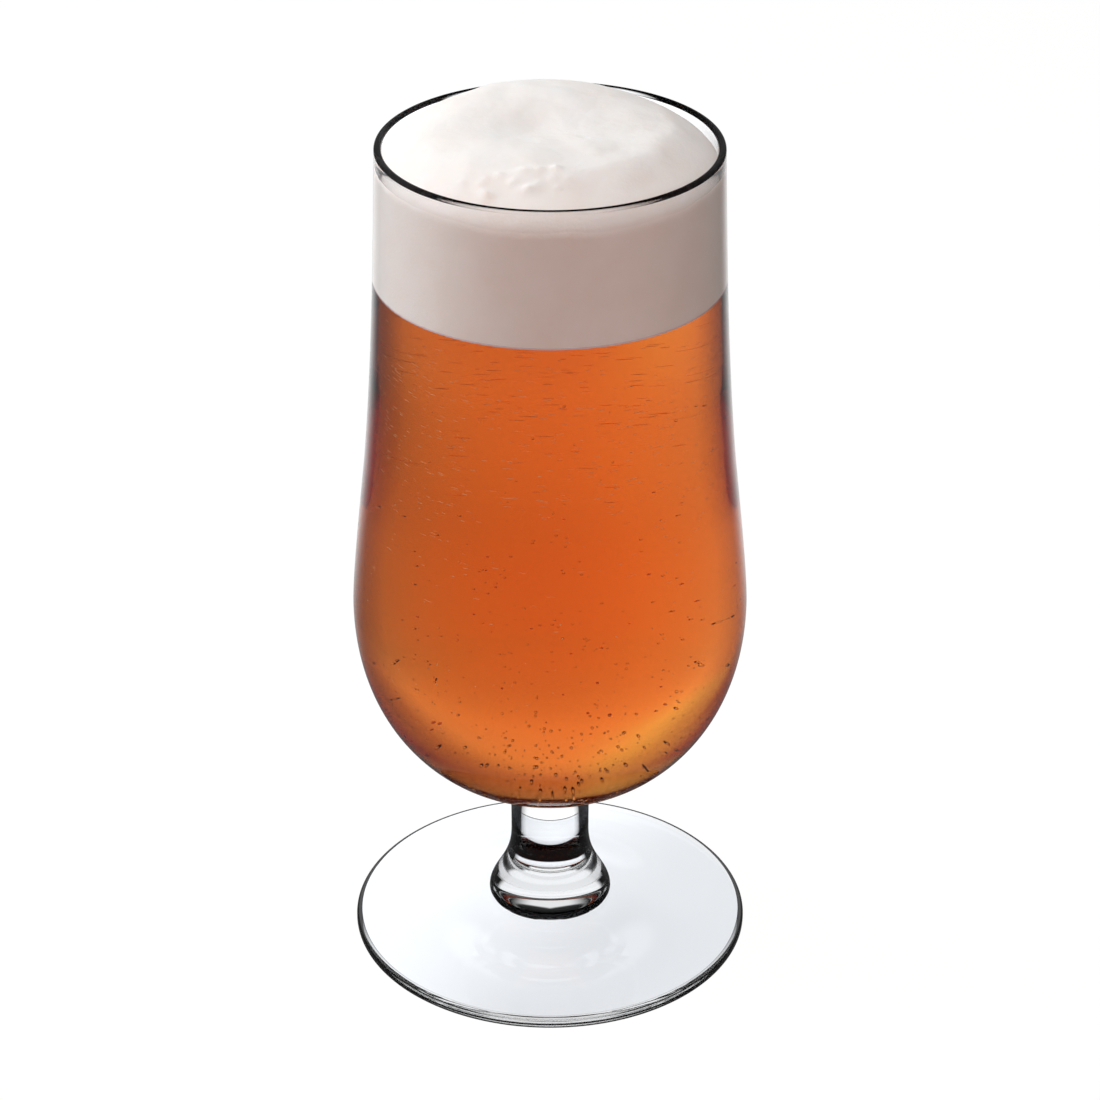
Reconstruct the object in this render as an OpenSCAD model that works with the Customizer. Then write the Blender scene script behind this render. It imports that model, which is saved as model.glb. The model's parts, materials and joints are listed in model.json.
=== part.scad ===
// Stemmed tulip beer glass with its drink.
// Three pieces of clear glass, fused hot face to face: a bowl, a short solid stem and a disc foot.
// The bowl holds the beer and the head of foam that stands on it.
// Millimetres, +Z up, origin on the table under the glass's axis.

/* [Foot] */
// Diameter of the foot
foot_d = 77.2; // [70:0.2:84]
// Height of the foot at its edge
foot_edge_h = 2.6; // [2:0.1:4]
// Radius that rounds the foot's edge, above and below
foot_edge_round = 1.1; // [0.4:0.1:1.3]
// Height of the flat seat for the stem, above the table
foot_seat_h = 6.4; // [5:0.1:9]
// Length of the nearly level stretch of the foot's top, inside the edge
foot_level_run = 14; // [6:0.5:20]
// Length of the slope that climbs to the seat
foot_climb_run = 8; // [4:0.5:14]
// Width of the flat ring that the foot rests on
foot_ring_w = 4; // [2:0.5:8]
// Depth of the hollow under the foot
foot_hollow_h = 1.6; // [0.6:0.1:2.4]
// Radius of the nearly level middle of that hollow
foot_hollow_r = 16; // [8:0.5:22]
// Length of the nearly level stretch where the hollow runs out to the ring
foot_hollow_run = 6; // [1:0.5:8]

/* [Stem] */
// Height of the stem, from the foot's seat to the bowl
stem_h = 28; // [24:0.5:60]
// Diameter of the collar at the stem's lower end
collar_d = 24; // [20:0.2:28]
// Radius that rolls the collar under to the seat
collar_round = 0.8; // [0.3:0.1:1.5]
// Length of the upright stretch above the collar's widest point
collar_rise = 3; // [1:0.1:5]
// Diameter of the stem's waist
waist_d = 15.2; // [12:0.2:19]
// Height of the waist above the foot's seat
waist_h = 14.4; // [12:0.2:19]
// Length over which the stem stays near its waist below it
waist_run_below = 7.6; // [3:0.1:9]
// Length over which the stem stays near its waist above it
waist_run_above = 9; // [3:0.1:10]
// Diameter of the stem's upper end, where it spreads under the bowl
stem_top_d = 19; // [16:0.2:24]
// Height of that spread
stem_spread_h = 2; // [0.5:0.1:4]

/* [Bowl] */
// Height of the bowl, from the stem to the rim
bowl_h = 130.6; // [120:0.2:150]
// Diameter of the rim
rim_d = 62.4; // [56:0.2:68]
// Thickness of the wall at the rim
lip_wall = 1.4; // [1:0.1:2.2]
// Lean of the wall at the rim, in degrees
rim_lean = 1.8; // [0:0.1:4]
// Length over which the wall keeps that lean
rim_run = 20.4; // [10:0.2:30]
// Diameter of the shoulder, where the wall leans in most
shoulder_d = 68.7; // [65:0.1:72]
// Height of the shoulder above the belly's widest point
shoulder_h = 31.6; // [24:0.2:40]
// Lean of the wall at the shoulder, in degrees
shoulder_lean = 5.3; // [3:0.1:8]
// Length over which the shoulder keeps its lean, below it
shoulder_run_below = 4.9; // [2:0.1:10]
// Length over which the shoulder keeps its lean, above it
shoulder_run_above = 20; // [8:0.5:24]
// Diameter of the belly at its widest
belly_d = 74.6; // [71:0.2:80]
// Height of the belly's widest point above the stem
belly_h = 38.4; // [34:0.2:46]
// Thickness of the wall at the belly
belly_wall = 1.8; // [1.2:0.1:3]
// Length of the upright stretch of wall above the belly's widest point
belly_rise = 6.4; // [3:0.1:12]
// Length of the upright stretch of wall below the belly's widest point
belly_drop = 22.3; // [16:0.2:26]
// Length of the nearly level stretch of the bowl's underside
underside_run = 14.8; // [10:0.2:20]
// Climb of the underside away from the stem, in degrees
underside_climb = 9; // [2:0.5:14]
// Thickness of the bowl's floor over the stem
floor_wall = 2.6; // [2:0.1:8]
// Length of the upright stretch of the inner wall below the belly's widest point
inner_drop = 21.4; // [12:0.2:24]
// Length of the nearly level stretch of the floor inside the bowl
floor_run = 23; // [12:0.2:28]

/* [Drink] */
// Depth of the beer's surface below the rim
beer_below_rim = 25.4; // [18:0.2:60]
// Depth of the foam's edge below the rim
foam_below_rim = 2.4; // [1:0.1:12]
// Height of the foam's dome above that edge
dome_h = 9; // [3:0.1:14]
// Width of the dome's steeper outer part
dome_side_w = 9.9; // [2:0.1:14]
// Height of the dome's steeper outer part
dome_side_h = 6; // [1:0.1:8]
// Radius of the dome's nearly flat top
dome_flat_r = 10; // [6:0.5:22]
// Gap between the drink and the bowl
drink_gap = 0.2; // [0.1:0.05:0.5]

/* [Hidden] */
curve_steps = 24;
round_steps = 8;
$fn = 128;

foot_r = foot_d / 2;
collar_r = collar_d / 2;
seat_r = collar_r - collar_round;
waist_r = waist_d / 2;
stem_top_r = stem_top_d / 2;
rim_r = rim_d / 2;
shoulder_r = shoulder_d / 2;
belly_r = belly_d / 2;
shoulder_wall = (belly_wall + lip_wall) / 2;

seat_z = foot_seat_h;
waist_z = seat_z + waist_h;
bowl_z = seat_z + stem_h;
floor_z = bowl_z + floor_wall;
belly_z = bowl_z + belly_h;
shoulder_z = belly_z + shoulder_h;
rim_z = bowl_z + bowl_h;
lip_z = rim_z - lip_wall / 2;
beer_z = rim_z - beer_below_rim;
foam_edge_z = rim_z - foam_below_rim;
dome_z = foam_edge_z + dome_h;
room_z = dome_z + dome_h;

// Points along a cubic curve from p[0] to p[3], pulled by p[1] and p[2]
function curve(p) = [
    for (i = [0:curve_steps])
        let (t = i / curve_steps, s = 1 - t)
            s * s * s * p[0] + 3 * s * s * t * p[1] + 3 * s * t * t * p[2] + t * t * t * p[3]
];

// Points along a circular arc from angle a to angle b
function arc(centre, r, a, b) = [
    for (i = [0:round_steps])
        let (angle = a + (b - a) * i / round_steps)
            centre + r * [cos(angle), sin(angle)]
];

// A list of points from its end to its start
function back(points) = [for (i = [len(points) - 1:-1:0]) points[i]];

// The wall from the belly up to the lip, moved in by an amount at each of its three stations
function upper_wall(belly_in, shoulder_in, lip_in) =
    let (
        belly = [belly_r - belly_in, belly_z],
        shoulder = [shoulder_r - shoulder_in, shoulder_z],
        lip = [rim_r - lip_in, lip_z],
        lean = [-tan(shoulder_lean), 1],
        lip_lean = [-tan(rim_lean), 1]
    )
    concat(
        curve([belly, belly + [0, belly_rise], shoulder - lean * shoulder_run_below, shoulder]),
        curve([shoulder, shoulder + lean * shoulder_run_above, lip - lip_lean * rim_run, lip])
    );

// The bowl's outside below the belly, from the stem up
function outer_lower_wall() =
    let (
        edge = [stem_top_r, bowl_z],
        belly = [belly_r, belly_z],
        climb = [1, tan(underside_climb)]
    )
    curve([edge, edge + climb * underside_run, belly - [0, belly_drop], belly]);

// The bowl's inside below the belly, from the middle of the floor up, moved in by a gap
function inner_lower_wall(gap) =
    let (
        middle = [0, floor_z + gap],
        belly = [belly_r - belly_wall - gap, belly_z]
    )
    curve([middle, middle + [floor_run, 0], belly - [0, inner_drop], belly]);

// The bowl's whole inside, from the middle of the floor to the lip, moved in by a gap
function inner_wall(gap) =
    concat(
        inner_lower_wall(gap),
        upper_wall(belly_wall + gap, shoulder_wall + gap, lip_wall + gap)
    );

// The room that the drink has, open upwards
module drink_room() {
    side = rim_r - lip_wall - drink_gap;
    polygon(concat(inner_wall(drink_gap), [[side, room_z], [0, room_z]]));
}

module bowl() {
    lip_middle = [rim_r - lip_wall / 2, lip_z];
    color("aliceblue", 0.35)
        rotate_extrude()
            polygon(concat(
                [[0, bowl_z]],
                outer_lower_wall(),
                upper_wall(0, 0, 0),
                arc(lip_middle, lip_wall / 2, 0, 180),
                back(inner_wall(0))
            ));
}

module stem() {
    collar = [collar_r, seat_z + collar_round];
    waist = [waist_r, waist_z];
    top = [stem_top_r, bowl_z];
    color("azure", 0.45)
        rotate_extrude()
            polygon(concat(
                [[0, seat_z]],
                arc(collar - [collar_round, 0], collar_round, -90, 0),
                curve([collar, collar + [0, collar_rise], waist - [0, waist_run_below], waist]),
                curve([waist, waist + [0, waist_run_above], [waist_r, bowl_z - stem_spread_h], top]),
                [[0, bowl_z]]
            ));
}

module foot() {
    edge_x = foot_r - foot_edge_round;
    edge = [edge_x, foot_edge_h];
    seat = [seat_r, seat_z];
    middle = [0, foot_hollow_h];
    ring = [edge_x - foot_ring_w, 0];
    color("lightcyan", 0.45)
        rotate_extrude()
            polygon(concat(
                curve([middle, middle + [foot_hollow_r, 0], ring - [foot_hollow_run, 0], ring]),
                arc([edge_x, foot_edge_round], foot_edge_round, -90, 0),
                arc([edge_x, foot_edge_h - foot_edge_round], foot_edge_round, 0, 90),
                curve([edge, edge - [foot_level_run, 0], seat + [foot_climb_run, 0], seat]),
                [[0, seat_z]]
            ));
}

module beer() {
    color("darkorange", 0.85)
        rotate_extrude()
            intersection() {
                drink_room();
                square([belly_r, beer_z]);
            }
}

module foam_head() {
    edge = [rim_r - lip_wall, foam_edge_z];
    dome = curve([
        edge,
        edge + [-dome_side_w, dome_side_h],
        [dome_flat_r, dome_z],
        [0, dome_z]
    ]);
    color("ivory")
        rotate_extrude()
            intersection() {
                drink_room();
                polygon(concat([[0, beer_z], [belly_r, beer_z], [belly_r, foam_edge_z]], dome));
            }
}

bowl();
stem();
foot();
beer();
foam_head();
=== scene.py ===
import json
import math
import random

import bpy
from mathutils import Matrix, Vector, noise


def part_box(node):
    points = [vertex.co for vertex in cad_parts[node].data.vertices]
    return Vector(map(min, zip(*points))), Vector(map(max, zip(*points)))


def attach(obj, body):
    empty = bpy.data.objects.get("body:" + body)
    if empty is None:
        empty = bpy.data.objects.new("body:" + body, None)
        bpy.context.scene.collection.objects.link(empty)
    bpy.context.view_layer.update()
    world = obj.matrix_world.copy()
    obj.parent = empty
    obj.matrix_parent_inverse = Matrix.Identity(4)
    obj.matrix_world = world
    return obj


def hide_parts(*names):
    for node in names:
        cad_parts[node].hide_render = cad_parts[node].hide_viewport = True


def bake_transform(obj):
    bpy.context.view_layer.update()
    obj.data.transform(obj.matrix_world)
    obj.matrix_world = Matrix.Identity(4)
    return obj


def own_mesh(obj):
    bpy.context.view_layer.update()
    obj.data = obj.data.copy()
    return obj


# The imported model, and its box before anything is added to it
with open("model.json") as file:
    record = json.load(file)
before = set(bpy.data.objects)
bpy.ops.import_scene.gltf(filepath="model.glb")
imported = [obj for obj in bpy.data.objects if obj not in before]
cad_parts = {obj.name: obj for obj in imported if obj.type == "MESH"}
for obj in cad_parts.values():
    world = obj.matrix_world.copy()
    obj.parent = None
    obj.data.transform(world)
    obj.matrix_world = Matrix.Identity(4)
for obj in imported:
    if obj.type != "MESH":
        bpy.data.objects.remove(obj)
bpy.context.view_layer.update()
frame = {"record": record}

MM = 0.001

# Sizes that the frame gives
seat_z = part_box("stem")[0].z
bowl_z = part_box("bowl")[0].z
rim_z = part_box("bowl")[1].z
beer_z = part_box("beer")[1].z
dome_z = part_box("foam_head")[1].z
foot_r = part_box("foot")[1].x
collar_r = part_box("stem")[1].x
belly_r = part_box("bowl")[1].x
level_drop = -frame["record"]["behaviour"]["joints"][0]["range_m"][0]
low_beer_z = beer_z - level_drop

# Foot
foot_edge_h = 2.6 * MM
foot_edge_round = 1.1 * MM
foot_level_run = 14 * MM
foot_climb_run = 8 * MM
foot_ring_w = 4 * MM
foot_hollow_h = 1.6 * MM
foot_hollow_r = 16 * MM
foot_hollow_run = 6 * MM
# Painted shade: heights, half width and depth of the thin bands round the foot's edge that are painted
# dark for lines of refraction
painted_foot_line_heights = (1.3 * MM, 2.1 * MM)
painted_foot_line_half_w = 0.09 * MM
painted_foot_line_depth = 0.8 * foot_edge_round

# Stem
collar_round = 0.8 * MM
collar_rise = 3 * MM
waist_r = 7.6 * MM
waist_h = 14.4 * MM
waist_run_below = 7.6 * MM
waist_run_above = 9 * MM
stem_top_r = 9.5 * MM
stem_spread_h = 2 * MM
seat_r = collar_r - collar_round
waist_z = seat_z + waist_h
# Heights of the stem's zones: a collar ring painted almost wholly dark, then the collar's sides and the
# flare, whose sides are painted dark
painted_collar_ring_h = 1.9 * MM
collar_side_h = 5.2 * MM
flare_h = 9 * MM

# Bowl
rim_r = 31.2 * MM
lip_wall = 1.4 * MM
rim_lean = math.radians(1.8)
rim_run = 20.4 * MM
shoulder_r = 34.35 * MM
shoulder_h = 31.6 * MM
shoulder_lean = math.radians(5.3)
shoulder_run_below = 4.9 * MM
shoulder_run_above = 20 * MM
belly_h = 38.4 * MM
belly_wall = 1.8 * MM
belly_rise = 6.4 * MM
belly_drop = 22.3 * MM
underside_run = 14.8 * MM
underside_climb = math.radians(9)
floor_wall = 2.6 * MM
inner_drop = 21.4 * MM
floor_run = 23 * MM
shoulder_wall = (belly_wall + lip_wall) / 2
floor_z = bowl_z + floor_wall
belly_z = bowl_z + belly_h
shoulder_z = belly_z + shoulder_h
lip_z = rim_z - lip_wall / 2

# Drink
foam_edge_z = rim_z - 2.4 * MM
beer_wets_wall = 0.15 * MM
foam_wets_wall = 0.1 * MM
foam_in_beer = 0.3 * MM
foam_shoulder_h = 2.1 * MM
foam_shoulder_w = 2.6 * MM
foam_crown = Vector((-3 * MM, 8 * MM))
floor_bubbles_r = 23 * MM
rising_bubbles_r = 24 * MM

CURVE_STEPS = 48
ROUND_STEPS = 14
AROUND = 224

# Counts of bubbles by place, and the range of their half sizes in millimetres
FLOOR_BUBBLES = 1100
WALL_BUBBLES = 1100
WALL_DASHES = 1500
RISING_BUBBLES = 60
SMALL_BUBBLE = (0.08, 0.19)
RISING_BUBBLE = (0.12, 0.26)
DASH_THICKNESS = (0.03, 0.06)
DASH_LENGTH = (0.2, 1.0)

# Shares of them that are pale
PALE_BUBBLES = 0.25
PALE_DASHES = 0.9

# Foam mesh, and the share of the way from crown to edge where the crest stands
FOAM_AROUND = 288
FOAM_RINGS = 120
FOAM_SIDE_RINGS = 20
FOAM_SHOULDER_RINGS = 14
FOAM_CREST = 0.74
FOAM_LUMPS = 20

# Glass and beer
CLEAR = (0.98, 0.99, 1.0)
FOOT_TINT = (0.93, 0.96, 1.0)
# Colour of the painted shade on the glass where it turns away, on its rim and on its lines
PAINTED_DARK = (0.0005, 0.0005, 0.0006)
BEER_INDEX = 1.345
BEER_DEPTH_COLOUR = (0.951, 0.69, 0.355, 1)
BEER_DENSITY = 100

# How strongly the beer's sides are painted dark, from the bowl's bottom to the beer's surface
PAINTED_BEER_SHADE_STRENGTH = [
    (0.05, 0.14),
    (0.085, 0.3),
    (0.12, 0.64),
    (0.17, 0.95),
    (0.26, 0.95),
    (0.36, 0.78),
    (0.56, 0.78),
    (0.7, 0.88),
]

# Colour of the beer towards the foam, which shades it
BEER_UNDER_FOAM = [
    (0.55, (1.0, 1.0, 1.0)),
    (0.75, (0.84, 0.88, 0.95)),
    (0.98, (0.76, 0.7, 0.88)),
]

# Painted shade: colour of the beer by how far its side turns away
PAINTED_BEER_SIDE_TONES = [
    (0.155, (1.0, 1.0, 1.0)),
    (0.2, (0.5, 0.34, 0.34)),
    (0.26, (0.22, 0.03, 0.06)),
]

# Colours of the froth and of the film of gas on the wall, by a fine noise
FOAM_TONES = [(0.3, (0.92, 0.88, 0.85)), (0.7, (0.96, 0.94, 0.92))]
FILM_TONES = [(0.35, (0.9, 0.42, 0.18)), (0.65, (0.97, 0.6, 0.34))]

# Level that stands for white in the backdrop, and its colour from the plain to the warm side
PLAIN = 0.7
BACKDROP_TONES = [(0, PLAIN), (1, (0.7, 1.0, 0.85))]

# Level of the floor close behind the beer, from left to right: bright up to the middle, then dim
CLOSE_FLOOR = 0.84
CLOSE_FLOOR_GAIN = 1.25
BEHIND_BEER = [
    (0.2, CLOSE_FLOOR),
    (0.46, 0.88),
    (0.56, 0.63),
    (0.65, 0.43),
    (0.76, 0.43),
    (0.95, CLOSE_FLOOR),
]

# A ray that has passed more surfaces than these has been in the bowl or in the beer
BOWL_SURFACES = 3.5
BEER_SURFACES = 5.5

# Level of what the inside of the glass mirrors, away from the backdrop or off the bowl
DIM_MIRROR = 0.14

# Studio
FLOOR_HALF = 6.0
FLOOR_DROP = 0.05 * MM
FLOOR_GLOW = 0.96
SWING_ORIGIN = 0.15
LAMP_AIM = Vector((0, 0, 0.12))

# The camera that the photograph's ellipses give
CAMERA_PLACE = (0, -0.54397, 0.38141)
CAMERA_DOWN = 28.744
CAMERA_LENS = 107.73
CAMERA_SENSOR = 36


def curve(start, start_pull, end_pull, end, steps=CURVE_STEPS):
    """Points along a cubic curve from start to end."""
    points = []
    for i in range(steps + 1):
        t = i / steps
        s = 1 - t
        points.append(s**3 * start + 3 * s * s * t * start_pull + 3 * s * t * t * end_pull + t**3 * end)
    return points


def arc(centre, radius, first, last):
    """Points along a circular arc between two angles in degrees."""
    points = []
    for i in range(ROUND_STEPS + 1):
        angle = math.radians(first + (last - first) * i / ROUND_STEPS)
        points.append(centre + radius * Vector((math.cos(angle), math.sin(angle))))
    return points


def upper_wall(belly_in, shoulder_in, lip_in):
    """The wall from the belly up to the lip, moved in by an amount at each of its three stations."""
    belly = Vector((belly_r - belly_in, belly_z))
    shoulder = Vector((shoulder_r - shoulder_in, shoulder_z))
    lip = Vector((rim_r - lip_in, lip_z))
    lean = Vector((-math.tan(shoulder_lean), 1))
    lip_lean = Vector((-math.tan(rim_lean), 1))
    below = curve(belly, belly + Vector((0, belly_rise)), shoulder - lean * shoulder_run_below, shoulder)
    above = curve(shoulder, shoulder + lean * shoulder_run_above, lip - lip_lean * rim_run, lip)
    return below + above


def outer_lower_wall():
    """The bowl's outside below the belly, from the stem up."""
    edge = Vector((stem_top_r, bowl_z))
    belly = Vector((belly_r, belly_z))
    climb = Vector((1, math.tan(underside_climb)))
    return curve(edge, edge + climb * underside_run, belly - Vector((0, belly_drop)), belly)


def inner_wall(gap):
    """The bowl's whole inside, from the middle of the floor to the lip, moved in by a gap."""
    middle = Vector((0, floor_z + gap))
    belly = Vector((belly_r - belly_wall - gap, belly_z))
    lower = curve(middle, middle + Vector((floor_run, 0)), belly - Vector((0, inner_drop)), belly)
    return lower + upper_wall(belly_wall + gap, shoulder_wall + gap, lip_wall + gap)


def bowl_outline():
    lip_middle = Vector((rim_r - lip_wall / 2, lip_z))
    outside = [Vector((0, bowl_z))] + outer_lower_wall() + upper_wall(0, 0, 0)
    return outside + arc(lip_middle, lip_wall / 2, 0, 180) + inner_wall(0)[::-1]


def stem_outline():
    collar = Vector((collar_r, seat_z + collar_round))
    waist = Vector((waist_r, waist_z))
    top = Vector((stem_top_r, bowl_z))
    roll = arc(collar - Vector((collar_round, 0)), collar_round, -90, 0)
    flare = curve(collar, collar + Vector((0, collar_rise)), waist - Vector((0, waist_run_below)), waist)
    spread = Vector((waist_r, bowl_z - stem_spread_h))
    neck = curve(waist, waist + Vector((0, waist_run_above)), spread, top)
    return [Vector((0, seat_z))] + roll + flare + neck + [Vector((0, bowl_z))]


def foot_outline():
    edge_x = foot_r - foot_edge_round
    edge = Vector((edge_x, foot_edge_h))
    seat = Vector((seat_r, seat_z))
    middle = Vector((0, foot_hollow_h))
    ring = Vector((edge_x - foot_ring_w, 0))
    hollow_pull = middle + Vector((foot_hollow_r, 0))
    hollow = curve(middle, hollow_pull, ring - Vector((foot_hollow_run, 0)), ring)
    lower_round = arc(Vector((edge_x, foot_edge_round)), foot_edge_round, -90, 0)
    upper_round = arc(Vector((edge_x, foot_edge_h - foot_edge_round)), foot_edge_round, 0, 90)
    top = curve(edge, edge - Vector((foot_level_run, 0)), seat + Vector((foot_climb_run, 0)), seat)
    return hollow + lower_round + upper_round + top + [Vector((0, seat_z))]


def radius_at(outline, height):
    """Radius of a wall at a height, for an outline that climbs all the way."""
    for low, high in zip(outline, outline[1:]):
        if low.y <= height <= high.y and high.y > low.y:
            return low.x + (high.x - low.x) * (height - low.y) / (high.y - low.y)
    return outline[-1].x


def beer_outline():
    """The beer wets the wall. Above its lowest level its side is one straight stretch."""
    wetted = inner_wall(-beer_wets_wall)
    side = [point for point in wetted if point.y < low_beer_z]
    low_edge = Vector((radius_at(wetted, low_beer_z), low_beer_z))
    top_edge = Vector((radius_at(wetted, beer_z), beer_z))
    return side + [low_edge, top_edge, Vector((0, beer_z))]


def make_object(name, points, faces):
    mesh = bpy.data.meshes.new(name)
    mesh.from_pydata(points, [], faces)
    mesh.validate()
    piece = bpy.data.objects.new(name, mesh)
    bpy.context.collection.objects.link(piece)
    return piece


def shade_smooth(piece, crease_degrees=40):
    mesh = piece.data
    mesh.polygons.foreach_set("use_smooth", [True] * len(mesh.polygons))
    mesh.set_sharp_from_angle(angle=math.radians(crease_degrees))


def spin(outline, around=AROUND):
    """Points and faces of a closed body of revolution. The outline starts and ends on the axis."""
    points = []
    faces = []
    rings = []
    last = None
    for spot in outline:
        if last is not None and (spot - last).length < 1e-7:
            continue
        last = spot
        first = len(points)
        if spot.x < 1e-7:
            points.append((0, 0, spot.y))
            rings.append([first] * around)
            continue
        for i in range(around):
            angle = 2 * math.pi * i / around
            points.append((spot.x * math.cos(angle), spot.x * math.sin(angle), spot.y))
        rings.append(list(range(first, first + around)))
    for low, high in zip(rings, rings[1:]):
        for i in range(around):
            j = (i + 1) % around
            corners = [low[i], low[j], high[j], high[i]]
            faces.append(tuple(dict.fromkeys(corners)))
    return points, faces


def new_material(name):
    material = bpy.data.materials.new(name)
    material.use_nodes = True
    material.node_tree.nodes.clear()
    return material, material.node_tree


def add_node(tree, kind, inputs=None, operation=None):
    """A new node. Each input gets a constant, or a link from another node's output."""
    node = tree.nodes.new(kind)
    if operation:
        node.operation = operation
    for socket, value in (inputs or {}).items():
        if isinstance(value, bpy.types.NodeSocket):
            tree.links.new(value, node.inputs[socket])
        else:
            node.inputs[socket].default_value = value
    return node


def calculated(tree, operation, *values):
    """The result of an operation on values and numbers."""
    return add_node(tree, "ShaderNodeMath", dict(enumerate(values)), operation).outputs["Value"]


def product(tree, first, *others):
    """The product of values and numbers."""
    for other in others:
        first = calculated(tree, "MULTIPLY", first, other)
    return first


def larger(tree, first, second):
    return calculated(tree, "MAXIMUM", first, second)


def smaller(tree, first, second):
    return calculated(tree, "MINIMUM", first, second)


def above(tree, count, least):
    """1 where a count is above a number."""
    return calculated(tree, "GREATER_THAN", count, least)


def mixed(tree, share, first, second):
    """A level between two levels, by the share of the second."""
    return add_node(tree, "ShaderNodeMix", {"Factor": share, "A": first, "B": second}).outputs["Result"]


def chosen(tree, switch, off, on):
    """One of two shaders, by a switch."""
    return add_node(tree, "ShaderNodeMixShader", {"Fac": switch, 1: off, 2: on}).outputs["Shader"]


def slope(tree, value, first, last, first_level, last_level, kind="SMOOTHSTEP"):
    """A level that changes with a value, smoothly or in a straight line."""
    level = add_node(tree, "ShaderNodeMapRange")
    level.interpolation_type = kind
    level.inputs["From Min"].default_value = first
    level.inputs["From Max"].default_value = last
    level.inputs["To Min"].default_value = first_level
    level.inputs["To Max"].default_value = last_level
    tree.links.new(value, level.inputs["Value"])
    return level.outputs["Result"]


def ramp(tree, value, stops):
    """A colour that changes with a value, from stops of position and colour or grey level."""
    band = add_node(tree, "ShaderNodeValToRGB", {"Fac": value})
    elements = band.color_ramp.elements
    for _ in range(len(stops) - 2):
        elements.new(0.5)
    for element, (position, colour) in zip(elements, stops):
        element.position = position
        element.color = (*colour, 1) if isinstance(colour, tuple) else (colour, colour, colour, 1)
    return band.outputs["Color"]


def object_place(tree):
    return add_node(tree, "ShaderNodeTexCoord").outputs["Object"]


def facing_away(tree):
    """0 where a surface faces the eye, and 1 where it turns away."""
    return add_node(tree, "ShaderNodeLayerWeight", {"Blend": 0.5}).outputs["Facing"]


def on_the_outside(tree, value):
    """A value on the outside of a surface, and less than 0 on its inside."""
    faces = add_node(tree, "ShaderNodeNewGeometry")
    return calculated(tree, "SUBTRACT", value, faces.outputs["Backfacing"])


def fire_polish():
    """Node group for hot-worked glass: faint smears on its polish and slow waves in its surface."""
    group = bpy.data.node_groups.new("fire_polish", "ShaderNodeTree")
    for name in ("Wave Scale", "Smear Scale"):
        group.interface.new_socket(name, in_out="INPUT", socket_type="NodeSocketFloat")
    for name in ("Wave", "Roughness"):
        group.interface.new_socket(name, in_out="OUTPUT", socket_type="NodeSocketFloat")
    scales = add_node(group, "NodeGroupInput").outputs
    place = object_place(group)
    wave = add_node(
        group, "ShaderNodeTexNoise", {"Vector": place, "Scale": scales["Wave Scale"], "Detail": 1}
    )
    smear = add_node(
        group, "ShaderNodeTexNoise", {"Vector": place, "Scale": scales["Smear Scale"], "Detail": 4}
    )
    roughness = slope(group, smear.outputs["Fac"], 0.5, 0.8, 0.0, 0.04, "LINEAR")
    add_node(group, "NodeGroupOutput", {"Wave": wave.outputs["Fac"], "Roughness": roughness})
    return group


def lets_lamps_through(tree, surface):
    """Shadow and diffuse rays pass the surface, so that the studio's light reaches what is behind it."""
    rays = add_node(tree, "ShaderNodeLightPath").outputs
    soft = larger(tree, rays["Is Shadow Ray"], rays["Is Diffuse Ray"])
    clear = add_node(tree, "ShaderNodeBsdfTransparent")
    look = chosen(tree, soft, surface.outputs["BSDF"], clear.outputs["BSDF"])
    return add_node(tree, "ShaderNodeOutputMaterial", {"Surface": look})


def clear_glass(name, tint, sheen, limb=None, index=1.52, inside_clear=False):
    """Fire-polished glass. sheen is the share of its mirror that shows head on. limb holds the two
    facings between which its sides are painted dark, on its outside only where inside_clear is set:
    painted shade in place of the dark surroundings that the glass bends and mirrors."""
    material, tree = new_material(name)
    worked = add_node(tree, "ShaderNodeGroup")
    worked.node_tree = polish_group
    worked.inputs["Wave Scale"].default_value = 110
    worked.inputs["Smear Scale"].default_value = 45
    ripple = add_node(tree, "ShaderNodeBump", {"Strength": 1, "Distance": 0.01 * MM})
    tree.links.new(worked.outputs["Wave"], ripple.inputs["Height"])
    glass = add_node(tree, "ShaderNodeBsdfPrincipled")
    glass.inputs["Base Color"].default_value = (*tint, 1)
    glass.inputs["IOR"].default_value = index
    glass.inputs["Transmission Weight"].default_value = 1
    glass.inputs["Specular Tint"].default_value = (sheen, sheen, sheen, 1)
    tree.links.new(worked.outputs["Roughness"], glass.inputs["Roughness"])
    tree.links.new(ripple.outputs["Normal"], glass.inputs["Normal"])
    if limb:
        turned = facing_away(tree)
        if inside_clear:
            turned = on_the_outside(tree, turned)
        # Painted shade: the base colour goes dark where the surface turns away
        side = ramp(tree, turned, [(limb[0], tint), (limb[1], PAINTED_DARK)])
        tree.links.new(side, glass.inputs["Base Color"])
    lets_lamps_through(tree, glass)
    return material


def fused_seam():
    """The two faces of a hot joint, where the glass has run together and nothing shows."""
    material, tree = new_material("fused_seam")
    clear = add_node(tree, "ShaderNodeBsdfTransparent")
    add_node(tree, "ShaderNodeOutputMaterial", {"Surface": clear.outputs["BSDF"]})
    return material


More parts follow.
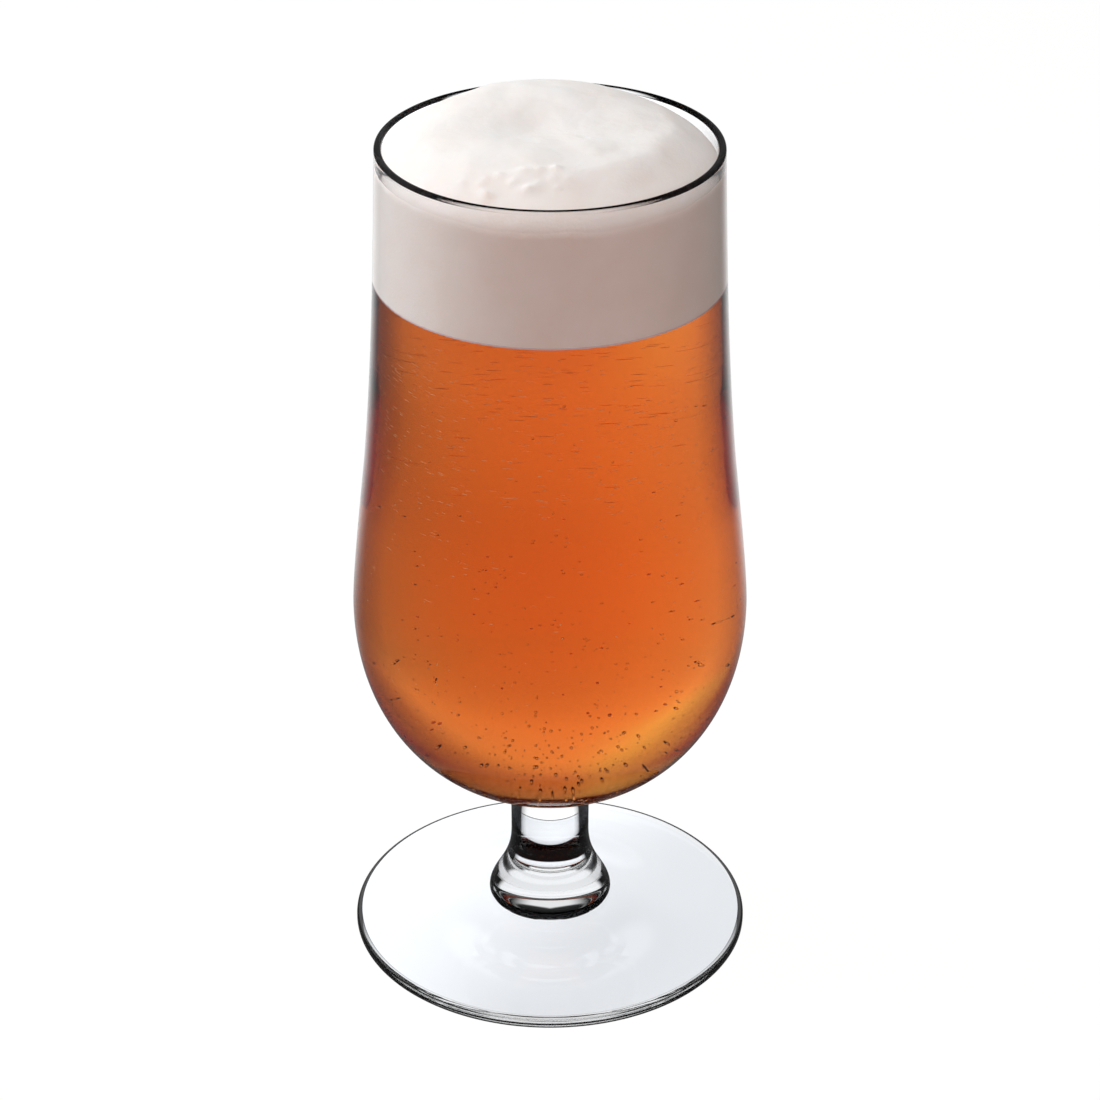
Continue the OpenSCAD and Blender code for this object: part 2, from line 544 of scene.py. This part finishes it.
def amber_beer():
    """Clear amber liquid, painted dark red towards its sides where they turn away, least of all at the
    bottom of the bowl, and painted shade under the foam."""
    material, tree = new_material("amber_beer")
    parts = add_node(tree, "ShaderNodeSeparateXYZ", {"Vector": object_place(tree)})
    height = slope(tree, parts.outputs["Z"], bowl_z, beer_z, 0.0, 1.0, "LINEAR")
    # Painted shade: the beer's sides go dark red where they turn away, and it is shaded under the foam
    turned = product(tree, facing_away(tree), ramp(tree, height, PAINTED_BEER_SHADE_STRENGTH))
    side = ramp(tree, on_the_outside(tree, turned), PAINTED_BEER_SIDE_TONES)
    shade = ramp(tree, height, BEER_UNDER_FOAM)
    tone = add_node(tree, "ShaderNodeVectorMath", {0: side, 1: shade}, "MULTIPLY")
    liquid = add_node(tree, "ShaderNodeBsdfPrincipled")
    liquid.inputs["Roughness"].default_value = 0
    liquid.inputs["IOR"].default_value = BEER_INDEX
    liquid.inputs["Transmission Weight"].default_value = 1
    liquid.inputs["Specular Tint"].default_value = (0, 0, 0, 1)
    tree.links.new(tone.outputs["Vector"], liquid.inputs["Base Color"])
    out = lets_lamps_through(tree, liquid)
    depth = add_node(tree, "ShaderNodeVolumeAbsorption")
    depth.inputs["Color"].default_value = BEER_DEPTH_COLOUR
    depth.inputs["Density"].default_value = BEER_DENSITY
    tree.links.new(depth.outputs["Volume"], out.inputs["Volume"])
    return material


def bubble_gas():
    """Gas in the beer, so its index is the inverse of the beer's."""
    material, tree = new_material("bubble_gas")
    gas = add_node(tree, "ShaderNodeBsdfPrincipled")
    gas.inputs["Base Color"].default_value = (1, 1, 1, 1)
    gas.inputs["Roughness"].default_value = 0
    gas.inputs["IOR"].default_value = 1 / BEER_INDEX
    gas.inputs["Transmission Weight"].default_value = 1
    lets_lamps_through(tree, gas)
    return material


def bubble_film():
    """Pale fine froth of the gas that clings to the wall."""
    material, tree = new_material("bubble_film")
    grain = add_node(tree, "ShaderNodeTexNoise", {"Vector": object_place(tree), "Scale": 900})
    film = add_node(tree, "ShaderNodeBsdfPrincipled")
    film.inputs["Roughness"].default_value = 0.5
    film.inputs["Alpha"].default_value = 0.5
    tree.links.new(ramp(tree, grain.outputs["Fac"], FILM_TONES), film.inputs["Base Color"])
    add_node(tree, "ShaderNodeOutputMaterial", {"Surface": film.outputs["BSDF"]})
    return material


def beer_foam():
    """Matt froth: cream and white patches, and a bump of fine cells."""
    material, tree = new_material("beer_foam")
    place = object_place(tree)
    patches = add_node(tree, "ShaderNodeTexNoise", {"Vector": place, "Scale": 120, "Detail": 4})
    cells = add_node(tree, "ShaderNodeTexVoronoi", {"Vector": place, "Scale": 1800})
    bump = add_node(tree, "ShaderNodeBump", {"Strength": 0.2, "Distance": 0.1 * MM})
    tree.links.new(cells.outputs["Distance"], bump.inputs["Height"])
    froth = add_node(tree, "ShaderNodeBsdfPrincipled")
    froth.inputs["Roughness"].default_value = 0.85
    froth.inputs["Specular IOR Level"].default_value = 0.2
    froth.inputs["Subsurface Weight"].default_value = 0.6
    froth.inputs["Subsurface Radius"].default_value = (1.0, 0.9, 0.85)
    froth.inputs["Subsurface Scale"].default_value = 1.2 * MM
    tree.links.new(ramp(tree, patches.outputs["Fac"], FOAM_TONES), froth.inputs["Base Color"])
    tree.links.new(bump.outputs["Normal"], froth.inputs["Normal"])
    add_node(tree, "ShaderNodeOutputMaterial", {"Surface": froth.outputs["BSDF"]})
    return material


def on_lip(spot):
    return spot.z > lip_z


def on_collar(spot):
    return spot.z < seat_z + painted_collar_ring_h


def on_collar_side(spot):
    return spot.z < seat_z + collar_side_h


def on_flare(spot):
    return spot.z < seat_z + flare_h


def on_painted_foot_line(spot):
    """Thin bands round the foot's edge painted dark: painted shade in place of the dark lines that the
    edge's refraction shows.
    """
    at_edge = math.hypot(spot.x, spot.y) > foot_r - painted_foot_line_depth
    return at_edge and any(abs(spot.z - line) < painted_foot_line_half_w for line in painted_foot_line_heights)


def on_foot_edge(spot):
    return math.hypot(spot.x, spot.y) > foot_r - foot_edge_round


def glass_piece(node, outline, seams, finish, zones):
    """One of the three glass pieces. The faces at its seams are where it is fused to the next, and each
    zone is a finish and the test for the faces that have it."""
    piece = make_object(node + "_glass", *spin(outline))
    piece.data.materials.append(finish)
    piece.data.materials.append(seam_finish)
    for zone_finish, _ in zones:
        piece.data.materials.append(zone_finish)
    for face in piece.data.polygons:
        flat = abs(face.normal.z) > 0.999
        if flat and any(abs(face.center.z - seam) < 0.01 * MM for seam in seams):
            face.material_index = 1
            continue
        for index, (_, in_zone) in enumerate(zones):
            if in_zone(face.center):
                face.material_index = index + 2
                break
    shade_smooth(piece)
    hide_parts(node)
    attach(piece, "glass")


def beer_piece():
    piece = make_object("beer_body", *spin(beer_outline()))
    piece.data.materials.append(beer_finish)
    shade_smooth(piece)
    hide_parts("beer")
    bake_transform(piece)


def ball_shape():
    """Points and faces of a small round ball of radius 1."""
    points = [(0, 0, -1)]
    faces = []
    rows = 4
    around = 8
    for k in range(1, rows):
        tilt = -math.pi / 2 + math.pi * k / rows
        for i in range(around):
            turn = 2 * math.pi * i / around
            out = math.cos(tilt)
            points.append((out * math.cos(turn), out * math.sin(turn), math.sin(tilt)))
    points.append((0, 0, 1))
    top = len(points) - 1
    for i in range(around):
        j = (i + 1) % around
        faces.append((0, 1 + j, 1 + i))
        for k in range(rows - 2):
            low = 1 + k * around
            faces.append((low + i, low + j, low + around + j, low + around + i))
        last = 1 + (rows - 2) * around
        faces.append((last + i, last + j, top))
    return points, faces


def floor_height(reach):
    """Height of the bowl's inside over a distance from the axis, below the belly."""
    wall = inner_wall(0)
    for low, high in zip(wall, wall[1:]):
        if low.x <= reach <= high.x:
            return low.y + (high.y - low.y) * (reach - low.x) / (high.x - low.x)
    return belly_z


def bubble_spots(pick):
    """Reach, turn, height and half sizes (across, along the wall, up) of each bubble, and whether it
    is pale."""
    spots = []
    wall = inner_wall(0)
    for _ in range(FLOOR_BUBBLES):
        size = pick.uniform(*SMALL_BUBBLE) * MM
        reach = floor_bubbles_r * pick.random() ** 0.55
        turn = pick.uniform(0, 2 * math.pi)
        height = floor_height(reach) + size * pick.uniform(1.05, 2.5)
        spots.append((reach, turn, height, (size, size, size), False))
    for _ in range(WALL_BUBBLES):
        size = pick.uniform(*SMALL_BUBBLE) * MM
        height = pick.triangular(floor_z + 2 * MM, belly_z + 20 * MM, floor_z + 8 * MM)
        reach = radius_at(wall, height) - size * 1.3
        turn = pick.uniform(0, 2 * math.pi)
        pale = pick.random() < PALE_BUBBLES
        spots.append((reach, turn, height, (size, size, size), pale))
    for _ in range(WALL_DASHES):
        thin = pick.uniform(*DASH_THICKNESS) * MM
        long = pick.uniform(*DASH_LENGTH) * MM
        height = pick.triangular(belly_z + 10 * MM, beer_z - 0.5 * MM, beer_z - 10 * MM)
        reach = radius_at(wall, height) - thin * 1.4 - 0.1 * MM
        turn = pick.uniform(0, 2 * math.pi)
        pale = pick.random() < PALE_DASHES
        spots.append((reach, turn, height, (thin, long, thin), pale))
    for _ in range(RISING_BUBBLES):
        size = pick.uniform(*RISING_BUBBLE) * MM
        reach = rising_bubbles_r * pick.random() ** 0.5
        height = pick.triangular(floor_height(reach) + 1 * MM, beer_z - 3 * MM, belly_z - 8 * MM)
        turn = pick.uniform(0, 2 * math.pi)
        spots.append((reach, turn, height, (size, size, size), False))
    return spots


def bubbles_piece():
    ball_points, ball_faces = ball_shape()
    points = []
    faces = []
    pale_faces = []
    for reach, turn, height, (across, along, up), pale in bubble_spots(random.Random(7)):
        first = len(points)
        cos = math.cos(turn)
        sin = math.sin(turn)
        for x, y, z in ball_points:
            out = reach + x * across - (y * along) ** 2 / (2 * reach)
            points.append((out * cos - y * along * sin, out * sin + y * along * cos, height + z * up))
        faces += [tuple(first + corner for corner in face) for face in ball_faces]
        pale_faces += [int(pale)] * len(ball_faces)
    piece = make_object("beer_bubbles", points, faces)
    piece.data.materials.append(gas_finish)
    piece.data.materials.append(film_finish)
    piece.data.polygons.foreach_set("material_index", pale_faces)
    shade_smooth(piece, 180)
    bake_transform(piece)


def ease(value, first, last):
    """0 before first, 1 after last, and smooth between them."""
    share = min(max((value - first) / (last - first), 0), 1)
    return share * share * (3 - 2 * share)


def turn_window(turn, middle, half_width):
    """1 at a turn in degrees, and 0 half_width degrees away from it."""
    away = abs((math.degrees(turn) - middle + 180) % 360 - 180)
    return 1 - ease(away, 0, half_width)


def foam_edge_height(turn):
    """Height of the foam's top close to the wall, uneven around the bowl."""
    wobble = noise.noise(Vector((2.2 * math.cos(turn), 2.2 * math.sin(turn), 5.0)))
    return foam_edge_z + 0.4 * MM * wobble


def foam_shoulder(turn):
    """Height over which the foam's edge rounds off to the wall, uneven around the bowl."""
    wobble = noise.noise(Vector((5 * math.cos(turn), 5 * math.sin(turn), 9.0)))
    at_sides = max(turn_window(turn, 0, 50), turn_window(turn, 180, 50))
    return foam_shoulder_h * (1 + 0.25 * wobble) * (1 - 0.55 * at_sides)


def foam_climb(x, y):
    """Share of the foam's height at a point, 0 at its edge and 1 at its crown. Towards the front and
    the right it is sunken behind a crest."""
    away = Vector((x, y)) - foam_crown
    if away.length < 1e-6:
        return 1
    heading = away.normalized()
    turn = math.atan2(heading.y, heading.x)
    along = foam_crown.dot(heading)
    run = -along + math.sqrt(along * along + foam_edge.x**2 - foam_crown.length_squared)
    fall = min(away.length / run, 1)
    sunken = turn_window(turn, -48, 85)
    to_crest = 0.36 * min(fall / FOAM_CREST, 1) ** 1.5
    past_crest = 0.64 * (max(fall - FOAM_CREST, 0) / (1 - FOAM_CREST)) ** 1.3
    crest = 0.05 * math.exp(-(((fall - FOAM_CREST) / 0.09) ** 2))
    return 1 - (1 - sunken) * fall**3 - sunken * (to_crest + past_crest - crest)


def hill(x, y, middle, half_widths):
    """1 at a place of the foam's top, and less away from it."""
    across = (x - middle[0] * MM) / (half_widths[0] * MM)
    along = (y - middle[1] * MM) / (half_widths[1] * MM)
    return math.exp(-(across * across + along * along))


def foam_top(x, y):
    """Height of the foam's top over a point of the bowl's mouth."""
    reach = math.hypot(x, y)
    turn = math.atan2(y, x)
    spot = Vector((x, y, 0)) / MM
    edge = foam_edge_height(turn)
    inset = max(foam_edge.x - reach, 0)
    height = edge + (dome_z - 0.9 * MM - edge) * foam_climb(x, y)
    height -= 2.4 * MM * hill(x, y, (-4, -2), (14, 8))
    inner = ease(inset, 0.5 * MM, 6 * MM)
    height += 0.3 * MM * noise.noise(spot / 7) * inner
    height += 0.12 * MM * noise.noise(spot / 3.2) * inner
    height += 0.04 * MM * noise.noise(spot / 1.1) * inner
    for middle, width, rise in foam_lumps:
        height += rise * hill(x, y, middle, (width, width))
    round_off = 1 - min(inset / foam_shoulder_w, 1)
    height -= foam_shoulder(turn) * (1 - math.sqrt(1 - round_off * round_off))
    height -= 0.25 * MM * abs(noise.noise(spot / 1.8)) * round_off
    return min(height, dome_z)


def lumps_on_foam(pick):
    """Middle, width and height of the small round lumps on the foam's front."""
    lumps = []
    for _ in range(FOAM_LUMPS):
        middle = (pick.uniform(-17, 4), pick.uniform(-24, -19))
        lumps.append((middle, pick.uniform(0.6, 1.1), pick.uniform(0.18, 0.34) * MM))
    return lumps


def foam_ring_radii():
    """Radii of the rings of the foam's top, close together where its edge rounds off."""
    radii = []
    for k in range(1, FOAM_SHOULDER_RINGS + 1):
        turned_in = 1 - math.cos(0.5 * math.pi * k / FOAM_SHOULDER_RINGS)
        radii.append(foam_edge.x - foam_shoulder_w * turned_in)
    inner = radii[-1]
    for k in range(1, FOAM_RINGS):
        radii.append(inner * (1 - k / FOAM_RINGS))
    return radii


def foam_piece():
    wall = inner_wall(-foam_wets_wall)
    low_z = beer_z - foam_in_beer
    turns = [2 * math.pi * i / FOAM_AROUND for i in range(FOAM_AROUND)]
    points = [(0, 0, low_z)]
    for k in range(FOAM_SIDE_RINGS + 1):
        for turn in turns:
            contact_z = foam_edge_height(turn) - foam_shoulder(turn)
            z = low_z + (contact_z - low_z) * k / FOAM_SIDE_RINGS
            r = radius_at(wall, z)
            points.append((r * math.cos(turn), r * math.sin(turn), z))
    radii = foam_ring_radii()
    for r in radii:
        for turn in turns:
            x = r * math.cos(turn)
            y = r * math.sin(turn)
            points.append((x, y, foam_top(x, y)))
    crown = len(points)
    points.append((0, 0, foam_top(0, 0)))
    faces = []
    for i in range(FOAM_AROUND):
        j = (i + 1) % FOAM_AROUND
        faces.append((0, 1 + j, 1 + i))
        for k in range(FOAM_SIDE_RINGS + len(radii)):
            low = 1 + k * FOAM_AROUND
            high = low + FOAM_AROUND
            faces.append((low + i, low + j, high + j, high + i))
        last = crown - FOAM_AROUND
        faces.append((last + i, last + j, crown))
    piece = make_object("foam_froth", points, faces)
    piece.data.materials.append(foam_finish)
    shade_smooth(piece, 60)
    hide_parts("foam_head")
    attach(piece, "drink")
    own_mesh(piece)


def seen_as(tree, lit, direct, bent, mirrored, gleam):
    """One shader for light on the object, one for the camera, one for what shows straight through
    glass, one for what the inside of the glass mirrors, and one for what its outside mirrors."""
    rays = add_node(tree, "ShaderNodeLightPath").outputs
    turned_back = above(tree, rays["Glossy Depth"], 0.5)
    gone_in = above(tree, rays["Transmission Depth"], 0.5)
    glass = larger(tree, rays["Is Glossy Ray"], rays["Is Transmission Ray"])
    mirror = chosen(tree, gone_in, gleam.outputs[0], mirrored.outputs[0])
    through = chosen(tree, turned_back, bent.outputs[0], mirror)
    look = chosen(tree, rays["Is Camera Ray"], lit.outputs[0], direct.outputs[0])
    return chosen(tree, glass, look, through)


def past_bowl_and_beer(tree):
    """1 for a ray that has passed the beer, and the level that the mirror has by whether a ray has
    passed the bowl."""
    surfaces = add_node(tree, "ShaderNodeLightPath").outputs["Transmission Depth"]
    through_beer = above(tree, surfaces, BEER_SURFACES)
    off_bowl = above(tree, surfaces, BOWL_SURFACES)
    in_stem = slope(tree, off_bowl, 0.0, 1.0, 1.0, DIM_MIRROR, "LINEAR")
    return through_beer, in_stem


def backdrop_level(tree, swing):
    """Level of the backdrop by its direction: brighter to the left, as the beer shows it."""
    return slope(tree, swing, -0.3, 0.5, 1.42, 0.9)


def backdrop_warmth(tree, swing):
    """Warmth of the backdrop by its direction: warmer to the left."""
    return slope(tree, swing, -0.22, -0.02, 1.0, 0.0)


def floor_look():
    """White where the camera sees it, and matt for the lamps. Through the glass it is dimmer to the
    right. Mirrored inside the glass it is bright straight behind the foot and dim elsewhere."""
    material, tree = new_material("pale_floor")
    matt = add_node(tree, "ShaderNodeBsdfDiffuse", {"Color": (0.3, 0.3, 0.3, 1)})
    faint = add_node(tree, "ShaderNodeBsdfDiffuse", {"Color": (0.07, 0.07, 0.07, 1)})
    glow = add_node(tree, "ShaderNodeEmission", {"Strength": FLOOR_GLOW})
    white = add_node(tree, "ShaderNodeAddShader", {0: glow.outputs["Emission"], 1: faint.outputs["BSDF"]})
    place = object_place(tree)
    parts = add_node(tree, "ShaderNodeSeparateXYZ", {"Vector": place}).outputs
    across = parts["X"]
    back = parts["Y"]
    reach = add_node(tree, "ShaderNodeVectorMath", {0: place}, "LENGTH").outputs["Value"]
    slant = calculated(tree, "MULTIPLY_ADD", back, -0.6, across)
    run = calculated(tree, "ADD", larger(tree, back, 0), SWING_ORIGIN)
    swing = calculated(tree, "DIVIDE", across, run)
    turned = calculated(tree, "ABSOLUTE", swing)
    aside = calculated(tree, "ABSOLUTE", across)
    at_back = slope(tree, turned, 0.45, 0.8, 1.0, 0.0)
    through_beer, in_stem = past_bowl_and_beer(tree)

    gradient = ramp(tree, slope(tree, swing, -1.0, 1.0, 0.0, 1.0, "LINEAR"), BEHIND_BEER)
    close = mixed(tree, slope(tree, back, 0.06, 0.1, 0.0, 1.0), CLOSE_FLOOR, gradient)
    close = product(tree, close, CLOSE_FLOOR_GAIN)
    far = product(tree, at_back, slope(tree, back, 0.135, 0.23, 0.0, 1.0))
    behind_beer = mixed(tree, far, close, backdrop_level(tree, swing))
    under_foot = slope(tree, slant, -0.025, 0.02, 1.2, 0.93)
    level = mixed(tree, slope(tree, reach, 0.042, 0.06, 1.0, 0.0), behind_beer, under_foot)
    warmth = product(tree, backdrop_warmth(tree, swing), through_beer)
    warmth = product(tree, warmth, slope(tree, back, 0.18, 0.28, 0.0, 1.0), at_back)
    bent = add_node(tree, "ShaderNodeEmission", {"Color": ramp(tree, warmth, BACKDROP_TONES)})
    tree.links.new(product(tree, level, 1 / PLAIN), bent.inputs["Strength"])

    strip = slope(tree, aside, 0.0045, 0.0058, 1.0, 0.0)
    strip = product(tree, strip, slope(tree, back, 0.012, 0.02, 0.0, 1.0))
    strip = smaller(tree, strip, in_stem)
    straight_back = slope(tree, aside, 0.04, 0.06, 1.0, 0.0)
    straight_back = product(tree, straight_back, slope(tree, back, -0.02, 0.02, 0.0, 1.0))
    straight_back = slope(tree, straight_back, 0.0, 1.0, DIM_MIRROR, 1.0, "LINEAR")
    outside = larger(tree, smaller(tree, straight_back, in_stem), through_beer)
    outside = product(tree, outside, slope(tree, reach, 0.05, 0.07, 0.0, 1.0))
    mirrored = add_node(tree, "ShaderNodeEmission", {"Strength": larger(tree, strip, outside)})

    grazing = slope(tree, turned, 0.25, 0.6, 1.0, 0.1)
    grazing = product(tree, grazing, slope(tree, back, 0.05, 0.2, 0.0, 1.0))
    grazing = slope(tree, grazing, 0.0, 1.0, 0.12, 0.9, "LINEAR")
    gleam = add_node(tree, "ShaderNodeEmission", {"Strength": grazing})

    look = seen_as(tree, matt, white, bent, mirrored, gleam)
    add_node(tree, "ShaderNodeOutputMaterial", {"Surface": look})
    return material


def floor():
    half = FLOOR_HALF
    corners = [(-half, -half, 0), (half, -half, 0), (half, half, 0), (-half, half, 0)]
    ground = make_object("floor", corners, [(0, 1, 2, 3)])
    ground.location.z = -FLOOR_DROP
    ground.data.materials.append(floor_look())


def studio_air():
    """White behind the object, and soft light on it. Through the glass, a white backdrop under a dark
    ceiling. Mirrored inside the glass, the backdrop and a bright window overhead."""
    world = bpy.data.worlds.new("studio")
    bpy.context.scene.world = world
    world.use_nodes = True
    tree = world.node_tree
    tree.nodes.clear()
    soft = add_node(tree, "ShaderNodeBackground", {"Color": (1.0, 0.75, 0.65, 1), "Strength": 0.06})
    white = add_node(tree, "ShaderNodeBackground", {"Color": (1, 1, 1, 1)})
    direction = add_node(tree, "ShaderNodeTexCoord").outputs["Generated"]
    parts = add_node(tree, "ShaderNodeSeparateXYZ", {"Vector": direction}).outputs
    across = parts["X"]
    back = parts["Y"]
    up = parts["Z"]
    aside = calculated(tree, "ABSOLUTE", across)
    through_beer, in_stem = past_bowl_and_beer(tree)

    at_back = slope(tree, back, 0.6, 0.9, 0.0, 1.0)
    at_back = product(tree, at_back, slope(tree, up, 0.3, 0.5, 1.0, 0.0))
    low = mixed(tree, at_back, 1.05, backdrop_level(tree, across))
    below_ceiling = slope(tree, up, 0.65, 0.85, 1 / PLAIN, 0.03)
    warmth = product(tree, backdrop_warmth(tree, across), at_back, through_beer)
    bent = add_node(tree, "ShaderNodeBackground", {"Color": ramp(tree, warmth, BACKDROP_TONES)})
    tree.links.new(product(tree, below_ceiling, low), bent.inputs["Strength"])

    raised = calculated(tree, "MULTIPLY_ADD", aside, -0.18, up)
    overhead = slope(tree, raised, 0.625, 0.65, 0.0, 1.0)
    overhead = product(tree, overhead, slope(tree, aside, 0.16, 0.48, 1.0, 0.0))
    backdrop = slope(tree, up, 0.4, 0.5, 1.0, 0.004)
    backdrop = smaller(tree, backdrop, larger(tree, in_stem, through_beer))
    mirrored = add_node(tree, "ShaderNodeBackground", {"Strength": larger(tree, backdrop, overhead)})

    window = slope(tree, up, 0.5, 0.75, 1.0, 0.1)
    window = product(tree, window, slope(tree, up, 0.0, 0.35, 0.2, 1.0))
    gleam = add_node(tree, "ShaderNodeBackground", {"Strength": window})

    look = seen_as(tree, soft, white, bent, mirrored, gleam)
    add_node(tree, "ShaderNodeOutputWorld", {"Surface": look})


def lamp(name, place, size, power, colour=(1, 1, 1)):
    """A soft box that points at the middle of the glass."""
    light = bpy.data.lights.new(name, "AREA")
    light.shape = "RECTANGLE"
    light.size = size[0]
    light.size_y = size[1]
    light.energy = power
    light.color = colour
    box = bpy.data.objects.new(name, light)
    bpy.context.collection.objects.link(box)
    box.location = place
    aim = LAMP_AIM - Vector(place)
    box.rotation_euler = aim.to_track_quat("-Z", "Y").to_euler()
    box.visible_camera = False
    box.visible_glossy = False
    box.visible_transmission = False


def camera():
    lens = bpy.data.cameras.new("camera")
    lens.sensor_width = CAMERA_SENSOR
    lens.lens = CAMERA_LENS
    view = bpy.data.objects.new("camera", lens)
    view.location = CAMERA_PLACE
    view.rotation_euler = (math.radians(90 - CAMERA_DOWN), 0, 0)
    bpy.context.collection.objects.link(view)
    bpy.context.scene.camera = view


polish_group = fire_polish()
seam_finish = fused_seam()
# Each limb paints the glass dark where its surface turns away: painted shade for the dark edges that
# refraction shows
bowl_finish = clear_glass("bowl_glass", CLEAR, 0.7, limb=(0.9, 0.97))
# The lip is painted almost wholly dark: painted shade for the black line of the rim
painted_dark_rim_finish = clear_glass("painted_dark_rim_glass", CLEAR, 0.0, limb=(0.04, 0.2), index=1.1)
stem_finish = clear_glass("stem_glass", CLEAR, 1.0, limb=(0.35, 0.46))
flare_finish = clear_glass("flare_glass", CLEAR, 1.0, limb=(0.6, 0.95))
# The collar ring is painted almost wholly dark on its outside: painted shade for the dark ring that
# refraction shows
painted_dark_collar_finish = clear_glass("painted_dark_collar_glass", CLEAR, 0.0, limb=(0.0, 0.06), inside_clear=True)
collar_side_finish = clear_glass("collar_side_glass", CLEAR, 1.0, limb=(0.48, 0.6), inside_clear=True)
foot_finish = clear_glass("foot_glass", FOOT_TINT, 1.0)
foot_edge_finish = clear_glass("foot_edge_glass", CLEAR, 1.0, limb=(0.28, 0.42))
# The foot's edge bands are painted almost wholly dark: painted shade for lines of refraction
painted_foot_line_finish = clear_glass("painted_foot_line_glass", CLEAR, 0.3, limb=(0.0, 0.06))
beer_finish = amber_beer()
foam_finish = beer_foam()
gas_finish = bubble_gas()
film_finish = bubble_film()

foam_lumps = lumps_on_foam(random.Random(3))
foam_edge = Vector((radius_at(inner_wall(-foam_wets_wall), foam_edge_z), foam_edge_z))

glass_piece("bowl", bowl_outline(), [bowl_z], bowl_finish, [(painted_dark_rim_finish, on_lip)])
stem_zones = [(painted_dark_collar_finish, on_collar), (collar_side_finish, on_collar_side), (flare_finish, on_flare)]
glass_piece("stem", stem_outline(), [seat_z, bowl_z], stem_finish, stem_zones)
foot_zones = [(painted_foot_line_finish, on_painted_foot_line), (foot_edge_finish, on_foot_edge)]
glass_piece("foot", foot_outline(), [seat_z], foot_finish, foot_zones)
beer_piece()
bubbles_piece()
foam_piece()
floor()
studio_air()
lamp("key_box", (-0.74, 0.18, 0.46), (0.7, 0.7), 5.8)
lamp("top_box", (0.0, -0.02, 1.15), (0.6, 0.6), 6.4)
lamp("fill_box", (-0.12, -0.85, 0.14), (1.0, 0.4), 2.6, (1.0, 0.62, 0.52))
lamp("side_box", (0.8, -0.35, 0.14), (0.5, 0.4), 1.0, (1.0, 0.72, 0.62))
camera()

scene = bpy.context.scene
scene.view_settings.view_transform = "Standard"
scene.cycles.max_bounces = 32
scene.cycles.transmission_bounces = 32
scene.cycles.glossy_bounces = 16
scene.cycles.transparent_max_bounces = 32
